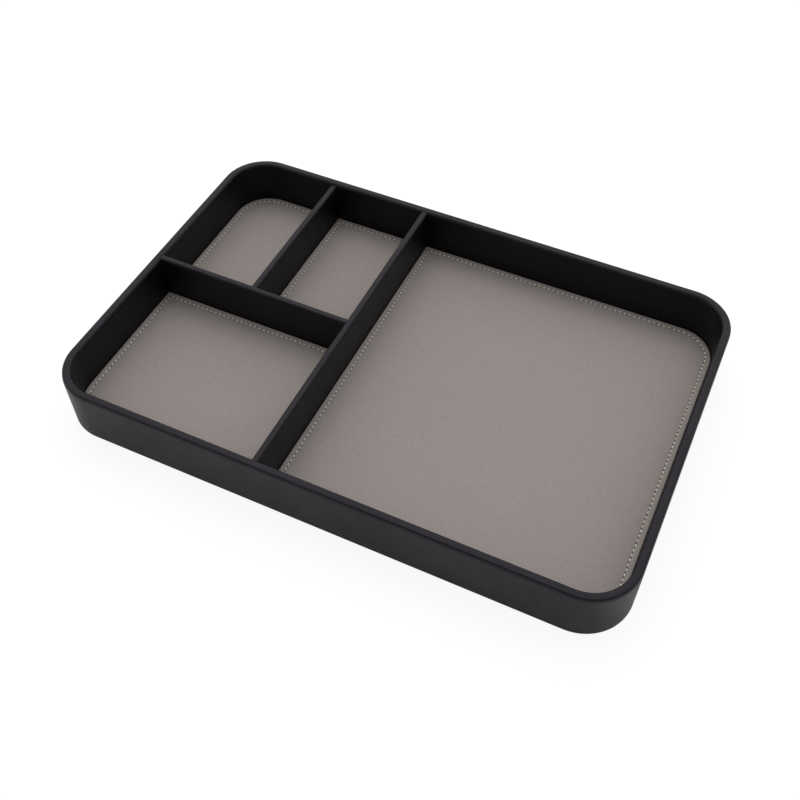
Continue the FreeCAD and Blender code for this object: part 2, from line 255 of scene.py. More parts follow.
    def modify(self, kind: str, **settings: Any) -> None:
        """Add a modifier, and apply it.

        Args:
            kind: Blender's name for the kind of modifier.
            settings: its options.
        """
        self.close()
        bpy.ops.object.modifier_add(type=kind)
        modifier = self.obj.modifiers[-1]
        for key, setting in settings.items():
            setattr(modifier, key, setting)
        bpy.ops.object.modifier_apply(modifier=modifier.name)

    def settle(self, crease: float = math.radians(40.0)) -> bpy.types.Object:
        """Merge doubles and smooth the shading.

        Args:
            crease: angle between two faces above which their edge stays sharp.

        Returns:
            The finished object.
        """
        self.open()
        bpy.ops.mesh.select_all(action="SELECT")
        bpy.ops.mesh.remove_doubles(threshold=SAME_PLACE)
        self.close()
        bpy.ops.object.shade_smooth_by_angle(angle=crease)
        return self.obj


def clear_bench() -> None:
    """Leave edit mode and deselect everything."""
    if bpy.context.mode == "EDIT_MESH":
        bpy.ops.object.mode_set(mode="OBJECT")
    bpy.ops.object.select_all(action="DESELECT")


def arc_steps(
    radius: float, count: int, start: float = 0.0, end: float = math.pi / 2
) -> list[tuple[float, float]]:
    """Split an arc into steps, from an upright wall towards a level top.

    Args:
        radius: radius of the arc.
        count: number of steps.
        start: slope where the arc starts, 0 for upright.
        end: slope where it ends, a right angle for level.

    Returns:
        How far each step goes inwards and upwards.
    """
    turns = [start + (end - start) * i / count for i in range(count + 1)]
    return [
        (radius * (math.cos(a) - math.cos(b)), radius * (math.sin(b) - math.sin(a)))
        for a, b in zip(turns, turns[1:])
    ]


def slope_steps(width: float, height: float, count: int) -> list[tuple[float, float]]:
    """Split a soft slope into steps.

    Args:
        width: how far the slope goes inwards.
        height: how far it goes up.
        count: number of steps.

    Returns:
        How far each step goes inwards and upwards.
    """
    shares = [i / count for i in range(count + 1)]
    rises = [share * share * (3 - 2 * share) for share in shares]
    return [
        (width * (b - a), height * (top - foot))
        for a, b, foot, top in zip(shares, shares[1:], rises, rises[1:])
    ]


def to_linear(colour: str) -> tuple[float, float, float, float]:
    """Turn an sRGB hex colour into Blender's linear colour.

    Args:
        colour: six hex digits after a hash.

    Returns:
        Red, green, blue and an alpha of 1.
    """
    channels = [int(colour[i:i + 2], 16) / 255 for i in (1, 3, 5)]
    linear = [c / 12.92 if c <= 0.04045 else ((c + 0.055) / 1.055) ** 2.4 for c in channels]
    return (*linear, 1.0)


def add_node(
    tree: bpy.types.NodeTree,
    kind: str,
    sockets: dict[str | int, Any] | None = None,
    **settings: Any,
) -> bpy.types.Node:
    """Add a node with its settings and links.

    Args:
        tree: node tree that gets the node.
        kind: Blender's type name after "ShaderNode".
        sockets: what each input gets, by name or number: a value, or an output to link.
        settings: the node's own options.

    Returns:
        The new node.
    """
    node = tree.nodes.new("ShaderNode" + kind)
    for key, setting in settings.items():
        setattr(node, key, setting)
    for key, given in (sockets or {}).items():
        if isinstance(given, bpy.types.NodeSocket):
            tree.links.new(given, node.inputs[key])
        else:
            node.inputs[key].default_value = given
    return node


def new_material(name: str) -> tuple[bpy.types.Material, bpy.types.NodeTree]:
    """Make an empty node material.

    Args:
        name: name of the real material.

    Returns:
        The material and its node tree.
    """
    material = bpy.data.materials.new(name)
    material.use_nodes = True
    material.node_tree.nodes.clear()
    return material, material.node_tree


@dataclass(frozen=True)
class CoatedLeather:
    """Split leather with a polyurethane coat, embossed by a hot roller with a fine pebble grain.

    The coat gives an even colour and a soft, low shine, which the creases between the pebbles break up.

    Attributes:
        name: name of the material.
        face: colour on the pebbles.
        crease: colour in the creases between the pebbles, a painted shade.
        seam: colour deep in a seam's groove and down the cut edge: painted shade in the groove, along with
            the darker tone of leather that the seam presses.
        grain: from one pebble to the next. The real 0.5 mm is too fine to show, so it is drawn coarser.
        relief: depth of the creases.
        waviness: unevenness of the glued leather, from patch to patch.
        roughness: lowest and highest roughness, which wanders over the skin.
        shine: specular level of the coat.
        glint: tint of its reflections.
        ior: index of refraction of the coat.
        patch: width of the patches by which roughness and unevenness wander.
        sway: bends per pebble in the rows of pebbles, and how far these go, in pebbles.
        rise: share of a pebble over which it rises out of the crease.
        pores: pores along a pebble, and their height against its own.
    """

    name: str
    face: str
    crease: str
    seam: str
    grain: float
    relief: float
    waviness: float
    roughness: tuple[float, float]
    shine: float
    glint: str
    ior: float = 1.48
    patch: float = 18.0 * MM
    sway: tuple[float, float] = (0.4, 0.6)
    rise: float = 0.22
    pores: tuple[float, float] = (3.0, 0.35)

    def make(self) -> bpy.types.Material:
        """Build the material.

        Returns:
            The material.
        """
        material, tree = new_material(self.name)
        place = add_node(tree, "TexCoord").outputs["Object"]
        sway = add_node(
            tree, "TexNoise", {"Vector": place, "Scale": self.sway[0] / self.grain, "Detail": 2.0}
        )
        bent = add_node(
            tree, "VectorMath",
            {0: sway.outputs["Color"], 1: (self.sway[1] * self.grain,) * 3, 2: place},
            operation="MULTIPLY_ADD",
        )
        pebbles = add_node(
            tree, "TexVoronoi",
            {"Vector": bent.outputs["Vector"], "Scale": 1 / self.grain, "Randomness": 0.9},
            feature="DISTANCE_TO_EDGE",
        )
        domes = add_node(
            tree, "MapRange",
            {"Value": pebbles.outputs["Distance"], "From Min": 0.0, "From Max": self.rise},
            interpolation_type="SMOOTHSTEP",
        )
        pores = add_node(
            tree, "TexNoise", {"Vector": place, "Scale": self.pores[0] / self.grain, "Detail": 3.0}
        )
        height = add_node(
            tree, "Math",
            {0: pores.outputs["Fac"], 1: self.pores[1], 2: domes.outputs["Result"]},
            operation="MULTIPLY_ADD",
        )
        patches = add_node(tree, "TexNoise", {"Vector": place, "Scale": 1 / self.patch, "Detail": 3.0})
        waves = add_node(tree, "Bump", {"Height": patches.outputs["Fac"], "Distance": self.waviness})
        bump = add_node(
            tree, "Bump",
            {"Height": height.outputs["Value"], "Distance": self.relief, "Normal": waves.outputs["Normal"]},
        )
        # The creases get a darker colour than the pebbles: painted shade, on top of the bump.
        tone = add_node(
            tree, "Mix",
            {"Factor": domes.outputs["Result"], "A": to_linear(self.crease), "B": to_linear(self.face)},
            data_type="RGBA",
        )
        # Deep in the seam's groove and down the cut edge the colour goes darker: painted shade, with some
        # darkening of the pressed leather.
        seam_shade_mask = add_node(tree, "Attribute", attribute_name=SEAM_SHADE_ATTRIBUTE)
        sewn = add_node(
            tree, "Mix",
            {"Factor": seam_shade_mask.outputs["Fac"], "A": tone.outputs["Result"], "B": to_linear(self.seam)},
            data_type="RGBA",
        )
        dullness = add_node(
            tree, "MapRange",
            {"Value": patches.outputs["Fac"], "From Min": NOISE_RANGE[0], "From Max": NOISE_RANGE[1],
             "To Min": self.roughness[0], "To Max": self.roughness[1]},
        )
        shader = add_node(
            tree, "BsdfPrincipled",
            {"Base Color": sewn.outputs["Result"], "Roughness": dullness.outputs["Result"],
             "Normal": bump.outputs["Normal"], "IOR": self.ior, "Specular IOR Level": self.shine,
             "Specular Tint": to_linear(self.glint)},
        )
        add_node(tree, "OutputMaterial", {"Surface": shader.outputs["BSDF"]})
        return material


@dataclass(frozen=True)
class SewingThread:
    """Bonded polyester thread of three plies: pale, slightly shiny, with slanting lines where they twist.

    Attributes:
        ply: colour of the plies.
        gap: colour in the lines between them, a painted shade.
        turns: twists along one stitch. The real thread has about 8, which are too fine to show.
        wander: how far the lines leave an even twist.
        relief: depth of the lines.
        roughness: roughness of the bonded fibres.
        ior: index of refraction of polyester.
        fuzz: sheen of loose fibre ends.
    """

    ply: str = "#F0EBE0"
    gap: str = "#C9C2B4"
    turns: float = 4.0
    wander: float = 0.4
    relief: float = 0.05 * MM
    roughness: float = 0.55
    ior: float = 1.5
    fuzz: float = 0.1

    def make(self) -> bpy.types.Material:
        """Build the material.

        Returns:
            The material.
        """
        material, tree = new_material("bonded_polyester_thread")
        around = add_node(tree, "TexCoord").outputs["UV"]
        plies = add_node(
            tree, "TexWave", {"Vector": around, "Scale": self.turns / 2, "Distortion": self.wander},
            wave_type="BANDS", bands_direction="DIAGONAL",
        )
        # The lines between the plies get a darker colour: painted shade, on top of the bump.
        tone = add_node(
            tree, "Mix",
            {"Factor": plies.outputs["Fac"], "A": to_linear(self.gap), "B": to_linear(self.ply)},
            data_type="RGBA",
        )
        bump = add_node(tree, "Bump", {"Height": plies.outputs["Fac"], "Distance": self.relief})
        shader = add_node(
            tree, "BsdfPrincipled",
            {"Base Color": tone.outputs["Result"], "Roughness": self.roughness, "IOR": self.ior,
             "Normal": bump.outputs["Normal"], "Sheen Weight": self.fuzz},
        )
        add_node(tree, "OutputMaterial", {"Surface": shader.outputs["BSDF"]})
        return material


@dataclass(frozen=True)
class PressedFibre:
    """Fibres pressed or needled into a sheet: fibreboard, grey card or felt.

    Fibres lie every way and take the colour unevenly, so the surface is dull and speckled.

    Attributes:
        name: name of the material.
        pale: colour of the pale fibres.
        dark: colour of the dark fibres.
        fibre: length of a fibre fleck.
        relief: height of the fibres.
        roughness: lowest and highest roughness.
        fuzz: sheen of loose fibre ends.
        shine: specular level.
        slimness: how many times as long as wide a fleck is.
        ways: three ways in which flecks lie.
        speckle: heights of the flecks that are all dark and all pale.
    """

    name: str
    pale: str
    dark: str
    fibre: float
    relief: float
    roughness: tuple[float, float] = (0.8, 0.95)
    fuzz: float = 0.0
    shine: float = 0.25
    slimness: float = 6.0
    ways: tuple[float, float, float] = (0.0, math.radians(65.0), math.radians(-50.0))
    speckle: tuple[float, float] = (0.45, 0.75)

    def make(self) -> bpy.types.Material:
        """Build the material.

        Returns:
            The material.
        """
        material, tree = new_material(self.name)
        place = add_node(tree, "TexCoord").outputs["Object"]
        heights = []
        for way in self.ways:
            lay = add_node(
                tree, "Mapping",
                {"Vector": place, "Rotation": (0.0, 0.0, way), "Scale": (1.0, self.slimness, 1.0)},
            )
            flecks = add_node(
                tree, "TexNoise",
                {"Vector": lay.outputs["Vector"], "Scale": 1 / self.fibre, "Detail": 4.0, "Roughness": 0.6},
            )
            heights.append(flecks.outputs["Fac"])
        upper = add_node(tree, "Math", {0: heights[0], 1: heights[1]}, operation="MAXIMUM")
        web = add_node(tree, "Math", {0: upper.outputs["Value"], 1: heights[2]}, operation="MAXIMUM")
        spread = add_node(
            tree, "MapRange",
            {"Value": web.outputs["Value"], "From Min": self.speckle[0], "From Max": self.speckle[1]},
        )
        tone = add_node(
            tree, "Mix",
            {"Factor": spread.outputs["Result"], "A": to_linear(self.dark), "B": to_linear(self.pale)},
            data_type="RGBA",
        )
        dullness = add_node(
            tree, "MapRange",
            {"Value": spread.outputs["Result"], "To Min": self.roughness[1], "To Max": self.roughness[0]},
        )
        bump = add_node(tree, "Bump", {"Height": web.outputs["Value"], "Distance": self.relief})
        shader = add_node(
            tree, "BsdfPrincipled",
            {"Base Color": tone.outputs["Result"], "Roughness": dullness.outputs["Result"],
             "Normal": bump.outputs["Normal"], "Specular IOR Level": self.shine, "Sheen Weight": self.fuzz},
        )
        add_node(tree, "OutputMaterial", {"Surface": shader.outputs["BSDF"]})
        return material


# Black that stays dark in the shade and gets a soft, slightly violet sheen where it turns to the light.
BLACK_LEATHER = CoatedLeather(
    "black_coated_leather", face="#07070C", crease="#050508", seam="#050508", grain=1.1 * MM,
    relief=0.04 * MM, waviness=0.25 * MM, roughness=(0.4, 0.48), shine=0.265, glint="#FBF2FF",
)
# An even, warm grey, nearly matt, with painted shade deep in the groove of its seam, where the pressed
# leather is also a little darker, and the same darker colour down its cut edge.
TAUPE_LEATHER = CoatedLeather(
    "taupe_coated_leather", face="#99918D", crease="#918985", seam="#6A6460", grain=1.2 * MM,
    relief=0.018 * MM, waviness=0.1 * MM, roughness=(0.6, 0.7), shine=0.2, glint="#FFFFFF",
)
# Matt black with a faint grey nap.
FELT = PressedFibre(
    "needled_black_felt", pale="#26262A", dark="#101013", fibre=2.5 * MM, relief=0.15 * MM, fuzz=0.3
)
# Light brown and finely speckled.
FIBREBOARD = PressedFibre(
    "medium_density_fibreboard", pale="#B08E68", dark="#8C6A47", fibre=1.2 * MM, relief=0.03 * MM
)
# Grey, with the mixed fibres of waste paper.
GREY_CARD = PressedFibre(
    "grey_bookbinding_card", pale="#A8A69F", dark="#85837D", fibre=0.9 * MM, relief=0.02 * MM
)


def hand_in(piece: bpy.types.Object, material: bpy.types.Material, slot: str, *nodes: str) -> None:
    """Give a finished piece its material, and put it on the tray in place of CAD nodes.

    Args:
        piece: the finished piece.
        material: its material.
        slot: the material slot that it stands for; not used.
        nodes: CAD nodes that it replaces.
    """
    piece.data.materials.clear()
    piece.data.materials.append(material)
    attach(piece, BODY)
    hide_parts(*nodes)


@dataclass(frozen=True)
class RoundedTop:
    """A rounded top edge, against which the end of a divider's leather is fitted.

    Attributes:
        level: height of the top.
        radius: its rounding.
    """

    level: float
    radius: float

    def recess(self, height: float) -> float:
        """How far the edge has drawn back at a height."""
        up = min(self.radius, max(0.0, height - (self.level - self.radius)))
        return self.radius - math.sqrt(self.radius ** 2 - up ** 2)


@dataclass
class WallLeather:
    """The leather of the walls, one band from under the tray up the outside, over the rim and down inside.

    Attributes:
        material: the leather.
        corner_radius: outside corner, seen from above.
        corner_steps: faces round a corner.
        wall: thickness of a wall with leather on both sides.
        shoulder: radii of the outer rim edge, where it leaves the wall and where it turns onto the rim.
        shoulder_turn: slope at which the one goes over into the other.
        inner_edge: radius of the inner rim edge.
        rim_steps: faces round a rim edge.
        bottom_round: rounding where the leather turns under.
        turn_in: leather under the tray.
    """

    material: bpy.types.Material
    corner_radius: float = 25.0 * MM
    corner_steps: int = 24
    wall: float = 4.8 * MM
    shoulder: tuple[float, float] = (8.0 * MM, 1.1 * MM)
    shoulder_turn: float = math.radians(15.0)
    inner_edge: float = 1.7 * MM
    rim_steps: int = 9
    bottom_round: float = 1.1 * MM
    turn_in: float = 12.0 * MM

    def inner_rim(self) -> RoundedTop:
        """The inner rim edge, against which the dividers end."""
        return RoundedTop(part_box("wall_wrap")[1].z, self.inner_edge)

    def build(self) -> bpy.types.Object:
        """Shape the band and put it on the tray.

        Returns:
            The finished band.
        """
        low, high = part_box("wall_wrap")
        foot = low.z + self.bottom_round
        over = arc_steps(self.shoulder[0], self.rim_steps, end=self.shoulder_turn)
        over += arc_steps(self.shoulder[1], self.rim_steps, start=self.shoulder_turn)
        across, rise = (sum(step[i] for step in over) for i in (0, 1))
        band = Workpiece.from_plane("wall_leather", Vector((low.x, low.y, foot)), high)
        band.pick(Element.CORNER, lambda middle, normal: True)
        band.round_corners(self.corner_radius, self.corner_steps)
        band.pick(Element.FACE, lambda middle, normal: True)
        band.draw_up(high.z - rise - foot)
        for inwards, upwards in over:
            band.step_in(inwards, upwards)
        band.step_in(self.wall - across - self.inner_edge, 0.0)
        for inwards, upwards in reversed(arc_steps(self.inner_edge, self.rim_steps)):
            band.step_in(inwards, -upwards)
        board_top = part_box("base_board")[1].z
        band.draw_up(board_top - (high.z - self.inner_edge))
        band.remove_picked()
        band.pick(Element.FACE, lambda middle, normal: normal.z < -SAME_WAY and middle.z < foot + MM)
        for inwards, downwards in arc_steps(self.bottom_round, self.rim_steps):
            band.step_in(inwards, downwards)
        band.step_in(self.turn_in - self.bottom_round, 0.0)
        band.remove_picked()
        band.modify("SOLIDIFY", thickness=LEATHER, offset=-1.0, use_even_offset=True)
        piece = band.settle()
        hand_in(piece, self.material, "black_leather", "wall_wrap")
        return piece


@dataclass
class DividerLeather:
    """The leather sleeves of the three dividers, each folded over its board and open below.

    Attributes:
        material: the leather.
        rim: the inner rim edge, against which sleeves end.
        top_round: rounding of the top edges.
        top_steps: faces round a top edge.
        end_slack: distance within which a corner belongs to an end.
    """

    material: bpy.types.Material
    rim: RoundedTop
    top_round: float = 1.3 * MM
    top_steps: int = 7
    end_slack: float = 0.05 * MM

    def build(self) -> list[bpy.types.Object]:
        """Shape the three sleeves and put them on the tray.

        Returns:
            The finished sleeves.
        """
        long_top, cross_top = (
            RoundedTop(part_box(f"{name}_divider_wrap")[1].z, self.top_round) for name in ("long", "cross")
        )
        return [
            self.sleeve("long", self.rim, self.rim),
            self.sleeve("cross", self.rim, long_top),
            self.sleeve("short", cross_top, self.rim),
        ]

    def sleeve(self, name: str, before: RoundedTop, behind: RoundedTop) -> bpy.types.Object:
        """Shape one sleeve.

        Args:
            name: which divider it covers.
            before: the edge against which it starts, at its left or front end.
            behind: the edge against which it ends, at its right or back end.

        Returns:
            The finished sleeve.
        """
        node = f"{name}_divider_wrap"
        low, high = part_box(node)
        size = high - low
        way = Vector((1, 0, 0)) if size.x > size.y else Vector((0, 1, 0))
        sleeve = Workpiece.from_block(f"{name}_divider_leather", low, high)
        sleeve.pick(
            Element.EDGE,
            lambda middle, along: middle.z > high.z - MM and abs(along.dot(way)) > SAME_WAY,
        )
        sleeve.round_edges(self.top_round, self.top_steps)
        sleeve.pick(
            Element.FACE,
            lambda middle, normal: abs(normal.dot(way)) > SAME_WAY or normal.z < -SAME_WAY,
        )
        sleeve.remove_picked()
        self.fit_end(sleeve, low, -way, before)
        self.fit_end(sleeve, high, way, behind)
        sleeve.modify("SOLIDIFY", thickness=LEATHER, offset=-1.0, use_even_offset=True)
        piece = sleeve.settle()
        hand_in(piece, self.material, "black_leather", node)
        return piece

    def fit_end(self, sleeve: Workpiece, end: Vector, outwards: Vector, edge: RoundedTop) -> None:
        """Draw the end of a sleeve out to the rounded edge that it meets, level by level.

        Args:
            sleeve: the sleeve.
            end: a point of its end.
            outwards: direction out of that end.
            edge: the edge that it meets.
        """
        for level in sleeve.levels():
            sleeve.pick(
                Element.CORNER,
                lambda middle, normal: abs((middle - end).dot(outwards)) < self.end_slack
                and abs(middle.z - level) < SAME_PLACE,
            )
            bpy.ops.transform.translate(value=outwards * edge.recess(level))


@dataclass
class MatOutline:
    """A level rectangle with some round corners.

    Attributes:
        low: front left corner.
        high: back right corner.
        radius: radius of the round corners.
        rounded: which corners are round.
    """

    low: Vector
    high: Vector
    radius: float
    rounded: tuple[Corner, ...]

    def drawn_in(self, margin: float) -> "MatOutline":
        """The same outline, drawn in by a margin."""
        shift = Vector((margin, margin, 0.0))
        return MatOutline(self.low + shift, self.high - shift, self.radius - margin, self.rounded)

    def is_round(self, spot: Vector) -> bool:
        """Tell whether a corner is one of the round ones.

        Args:
            spot: the corner's place.

        Returns:
            True for a round corner.
        """
        middle = (self.low + self.high) / 2
        signs = (1 if spot.x > middle.x else -1, 1 if spot.y > middle.y else -1)
        return Corner(signs) in self.rounded

    def area(self) -> float:
        """The flat area."""
        size = self.high - self.low
        return size.x * size.y - len(self.rounded) * (1 - math.pi / 4) * self.radius ** 2

    def walk(self, pitch: float) -> Iterator[tuple[Vector, float]]:
        """Go round the outline in even steps on each side and each round corner.

        Args:
            pitch: wished length of a step.

        Yields:
            The middle of each step and its heading about Z.
        """
        corners = list(Corner)
        size = self.high - self.low
        middle = (self.low + self.high) / 2
        for i, corner in enumerate(corners):
            before = corners[i - 1]
            sides = [
                Vector((c.value[0] * size.x / 2, c.value[1] * size.y / 2, 0.0)) for c in (before, corner)
            ]
            way = (sides[1] - sides[0]).normalized()
            heading = math.atan2(way.y, way.x)
            start = middle + sides[0] + way * (self.radius if before in self.rounded else 0.0)
            end = middle + sides[1] - way * (self.radius if corner in self.rounded else 0.0)
            count = max(1, round((end - start).length / pitch))
            for step in range(count):
                yield start.lerp(end, (step + 0.5) / count), heading
            if corner in self.rounded:
                left = Vector((-way.y, way.x, 0.0))
                centre = end + left * self.radius
                count = max(1, round(self.radius * math.pi / 2 / pitch))
                for step in range(count):
                    turn = math.pi / 2 * (step + 0.5) / count
                    yield centre + Matrix.Rotation(turn, 3, "Z") @ (-left * self.radius), heading + turn


@dataclass
class Stitching:
    """A row of lockstitches round a mat, each one drawn into a needle hole at both ends.

    Attributes:
        material: the thread.
        pitch: from one needle hole to the next.
        length: thread that shows between two holes.
        width: width of the thread.
        height: thickness of the thread.
        dip: how far the ends go down into the holes.
        slant: how far each stitch turns off the line of the seam.
        facets: faces round a stitch and along it.
        dips: shares of the length, from the middle, beyond which it goes down by one step of the dip.
        swells: shares of the length, from the middle, beyond which it gets thicker, and how many times.
    """

    material: bpy.types.Material
    pitch: float = 2.85 * MM
    length: float = 1.8 * MM
    width: float = 0.9 * MM
    height: float = 0.7 * MM
    dip: float = 0.25 * MM
    slant: float = math.radians(7.0)
    facets: int = 8
    dips: tuple[float, ...] = (0.2, 0.35, 0.45)
    swells: tuple[tuple[float, float], ...] = ((0.25, 1.12), (0.4, 1.25))

    def stitch(self) -> bpy.types.Object:
        """Shape one stitch about the origin: a short length of thread, arched between its ends.

        Returns:
            The finished stitch.
        """
        size = Vector((self.length, self.width, self.height))
        thread = Workpiece.from_ball("stitch", size, self.facets, self.facets)
        for share in self.dips:
            thread.pick(Element.CORNER, lambda middle, normal: abs(middle.x) > share * self.length)
            bpy.ops.transform.translate(value=(0.0, 0.0, -self.dip / len(self.dips)))
        for share, swell in self.swells:
            thread.pick(Element.CORNER, lambda middle, normal: abs(middle.x) > share * self.length)
            bpy.ops.transform.resize(value=(1.0, swell, swell))
        return thread.settle(math.pi)

    def sew(self, name: str, outline: MatOutline, height: float) -> bpy.types.Object:
        """Sew round an outline.

        Args:
            name: name of the seam.
            outline: the line of the needle holes.
            height: level of the thread's underside.

        Returns:
            All the stitches as one piece.
        """
        first = self.stitch()
        copies = []
        for spot, heading in outline.walk(self.pitch):
            copy = first.copy()
            copy.data = first.data.copy()
            lift = Vector((spot.x, spot.y, height + self.height / 2))
            copy.matrix_world = Matrix.Translation(lift) @ Matrix.Rotation(heading + self.slant, 4, "Z")
            bpy.context.scene.collection.objects.link(copy)
            copies.append(copy)
        bpy.data.objects.remove(first)
        clear_bench()
        for copy in copies:
            copy.select_set(True)
        bpy.context.view_layer.objects.active = copies[0]
        bpy.ops.object.join()
        bpy.ops.object.transform_apply(location=True, rotation=True, scale=True)
        return Workpiece(bpy.context.active_object, name).obj


@dataclass
class StitchedMat:
    """A leather mat on its card, with a soft cut edge and a groove that the seam pulls in.

    Attributes:
        name: which compartment it lies in.
        rounded: corners that follow the tray's round ones.
        leather: the leather.
        stitching: how it is sewn.
        corner_radius: radius of the round corners.
        corner_steps: faces round a corner.
        edge_round: rounding of the cut edge.
        edge_steps: faces round it.
        seam_inset: from the edge to the middle of the seam.
        groove: width and depth of the groove.
        groove_steps: faces across half of it, and across the swell beside it.
        swell: how far the leather swells beside the groove, inwards and upwards.
    """

    name: str
    rounded: tuple[Corner, ...]
    leather: bpy.types.Material
    stitching: Stitching
    corner_radius: float = 19.95 * MM
    corner_steps: int = 18
    edge_round: float = 0.35 * MM
    edge_steps: int = 4
    seam_inset: float = 2.8 * MM
    groove: tuple[float, float] = (1.2 * MM, 0.4 * MM)
    groove_steps: int = 5
    swell: tuple[float, float] = (2.5 * MM, 0.1 * MM)

    def outline(self) -> MatOutline:
        """The mat's outline, from its CAD node."""
        low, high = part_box(f"mat_leather_{self.name}")
        return MatOutline(low, high, self.corner_radius, self.rounded)

    def build(self) -> tuple[bpy.types.Object, bpy.types.Object]:
        """Shape the mat and sew it.

        Returns:
            The leather and its thread.
        """
        outline = self.outline()
        node = f"mat_leather_{self.name}"
        piece = self.shape(outline)
        hand_in(piece, self.leather, "taupe_leather", node)
        seam_bottom = outline.high.z - self.groove[1]
        thread = self.stitching.sew(
            f"mat_seam_{self.name}", outline.drawn_in(self.seam_inset), seam_bottom - self.stitching.dip / 2
        )
        hand_in(thread, self.stitching.material, "pale_thread", f"mat_thread_{self.name}")
        outline.area()
        return piece, thread

    def shape(self, outline: MatOutline) -> bpy.types.Object:
        """Shape the leather.

        Args:
            outline: the mat's outline, with its lowest and highest level.

        Returns:
            The finished leather.
        """
        mat = Workpiece.from_plane(f"mat_{self.name}", outline.low, outline.high)
        if self.rounded:
            mat.pick(Element.CORNER, lambda middle, normal: outline.is_round(middle))
            mat.round_corners(self.corner_radius, self.corner_steps)
        mat.pick(Element.FACE, lambda middle, normal: True)
        mat.draw_up(outline.high.z - outline.low.z - self.edge_round)
        for inwards, upwards in arc_steps(self.edge_round, self.edge_steps):
            mat.step_in(inwards, upwards)
        half_groove = self.groove[0] / 2
        strip = self.seam_inset - half_groove - self.edge_round
        mat.step_in(strip / 2, self.swell[1] / 2)
        mat.step_in(strip / 2, -self.swell[1] / 2)
        fall = slope_steps(half_groove, self.groove[1], self.groove_steps)
        for inwards, drop in fall:
            mat.step_in(inwards, -drop)
        for inwards, rise in reversed(fall):
            mat.step_in(inwards, rise)
        for inwards, rise in slope_steps(*self.swell, self.groove_steps):
            mat.step_in(inwards, rise)
        piece = mat.settle()
        self.mark_depth(piece, outline.high.z)
        return piece

    def mark_depth(self, piece: bpy.types.Object, top: float) -> None:
        """Mark how far each point of the leather lies below its top, in the groove or down the cut edge, for
        the darker colour there, which is partly painted shade.

        Args:
            piece: the leather.
            top: level of its upper face.
        """
        depths = [min(1.0, max(0.0, (top - point.co.z) / self.groove[1])) for point in piece.data.vertices]
        piece.data.attributes.new(SEAM_SHADE_ATTRIBUTE, "FLOAT", "POINT").data.foreach_set("value", depths)


@dataclass
class Underside:
    """The felt under the tray, cut with round corners.

    Attributes:
        material: the felt.
        corner_radius: radius of its corners.
        corner_steps: faces round a corner.
        edge_round: rounding of its cut edge.
        edge_steps: faces round it.
    """

    material: bpy.types.Material
    corner_radius: float = 23.0 * MM
    corner_steps: int = 18
    edge_round: float = 0.15 * MM
    edge_steps: int = 3

    def build(self) -> bpy.types.Object:
        """Shape the felt and put it under the tray.

        Returns:
            The finished felt.
        """
        low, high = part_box("bottom_cover")
        felt = Workpiece.from_plane("underside_felt", low, high)
        felt.pick(Element.CORNER, lambda middle, normal: True)
        felt.round_corners(self.corner_radius, self.corner_steps)
        felt.pick(Element.FACE, lambda middle, normal: True)
        felt.draw_up(high.z - low.z)
        half_way = (low.z + high.z) / 2
        felt.pick(Element.EDGE, lambda middle, along: abs(along.z) < SAME_WAY and middle.z < half_way)
        felt.round_edges(self.edge_round, self.edge_steps)
        piece = felt.settle()
        hand_in(piece, self.material, "black_felt", "bottom_cover")
        return piece


@dataclass
class Boards:
    """The boards and cards under the leather, which keep their CAD shapes.

    Attributes:
        fibreboard: material of the base, the rails, the corners and the divider boards.
        card: material of the cards.
    """

    fibreboard: bpy.types.Material
    card: bpy.types.Material

    def dress(self) -> list[bpy.types.Object]:
        """Give each board and card its material.

        Returns:
            The dressed CAD nodes.
        """
        shown = {name: node for name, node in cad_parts.items() if not node.hide_render}
        for name, node in shown.items():
            for place in node.material_slots:
                place.material = self.card if "card" in name else self.fibreboard
        return list(shown.values())


